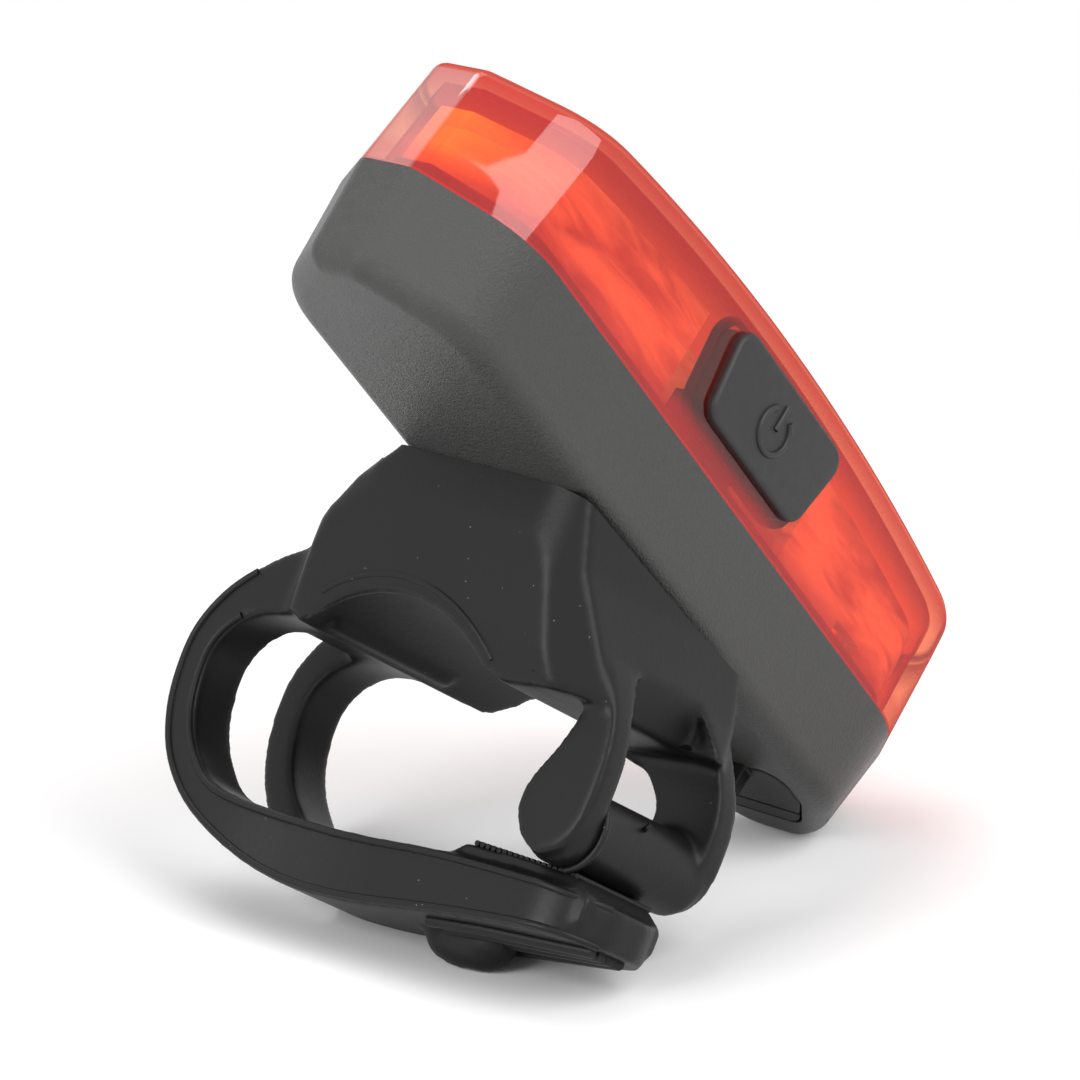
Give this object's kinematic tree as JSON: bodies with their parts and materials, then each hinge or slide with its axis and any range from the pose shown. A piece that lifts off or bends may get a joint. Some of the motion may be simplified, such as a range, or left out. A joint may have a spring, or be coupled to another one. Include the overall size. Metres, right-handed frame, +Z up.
{
  "type": "bicycle tail light",
  "caption": "Rechargeable red rear light for a bicycle, on a rubber strap mount with a seat post cradle, a hooked tongue and a stretch clasp.",
  "frame": {"origin": "middle of the bounding box's base, on the surface that the light stands on", "axes": "+Z up; the light's long axis climbs towards +Y, its lens faces -Y and up, and its button is on the -X side"},
  "size_m": [0.0464, 0.0616, 0.0666],
  "materials": {
    "housing_plastic": "fine spark texture",
    "red_lens": "clear red, glossy",
    "silicone": "matt",
    "switch_plastic": "moulded",
    "board": "solder resist",
    "lamp_chip": "epoxy",
    "chip_plastic": "moulded",
    "diffuser_plastic": "translucent",
    "battery_foil": "pouch foil",
    "foam": "closed cell foam",
    "lead_insulation": "soft",
    "steel": "plated",
    "brass": "knurled",
    "rubber": "satin silicone rubber"
  },
  "bodies": {
    "light": {"rear_housing": "housing_plastic", "lens": "red_lens", "perimeter_seal": "silicone", "button_gasket": "silicone", "tactile_switch": "switch_plastic", "circuit_board": "board", "led_chips": "lamp_chip", "driver_chip": "chip_plastic", "charge_chip": "chip_plastic", "chip_resistors": "chip_plastic", "diffuser": "diffuser_plastic", "battery": "battery_foil", "battery_pad": "foam", "battery_leads": "lead_insulation", "board_screws": "steel", "usb_socket": "steel", "usb_contacts": "switch_plastic", "cover_anchor": "rubber", "mount_insert": "brass", "mount_washer": "steel", "mount_screw": "steel", "strap_saddle": "rubber"},
    "button_pad": {"power_button": "silicone"},
    "plunger": {"switch_plunger": "switch_plastic"},
    "cover": {"port_cover": "rubber"},
    "strap_tail": {"tongue_strap": "rubber"},
    "clasp": {"clasp_loop": "rubber"}
  },
  "joints": [
    {"name": "button_press", "type": "slide", "parent": "light", "child": "button_pad", "axis": [1, 0, 0], "range_m": [0, 0.0004], "stiffness_N_per_m": 2000},
    {"name": "plunger_press", "type": "slide", "parent": "light", "child": "plunger", "axis": [1, 0, 0], "range_m": [0, 0.0004]},
    {"name": "cover_open", "type": "hinge", "parent": "light", "child": "cover", "pos_m": [-0.00375, -0.01351, 0.00333], "axis": [-1, 0, 0], "range_deg": [0, 100], "stiffness_Nm_per_rad": 0.0006},
    {"name": "strap_open", "type": "hinge", "parent": "light", "child": "strap_tail", "pos_m": [0.02315, 0.0145, 0.01357], "axis": [0, -0.8511, -0.5249], "range_deg": [0, 75], "stiffness_Nm_per_rad": 0.05},
    {"name": "clasp_open", "type": "hinge", "parent": "light", "child": "clasp", "pos_m": [-0.01915, 0.01114, 0.01749], "axis": [0, 0.8511, 0.5249], "range_deg": [0, 60], "stiffness_Nm_per_rad": 0.03}
  ],
  "couplings": [
    {"joint": "plunger_press", "follows": "button_press", "ratio": 1}
  ]
}
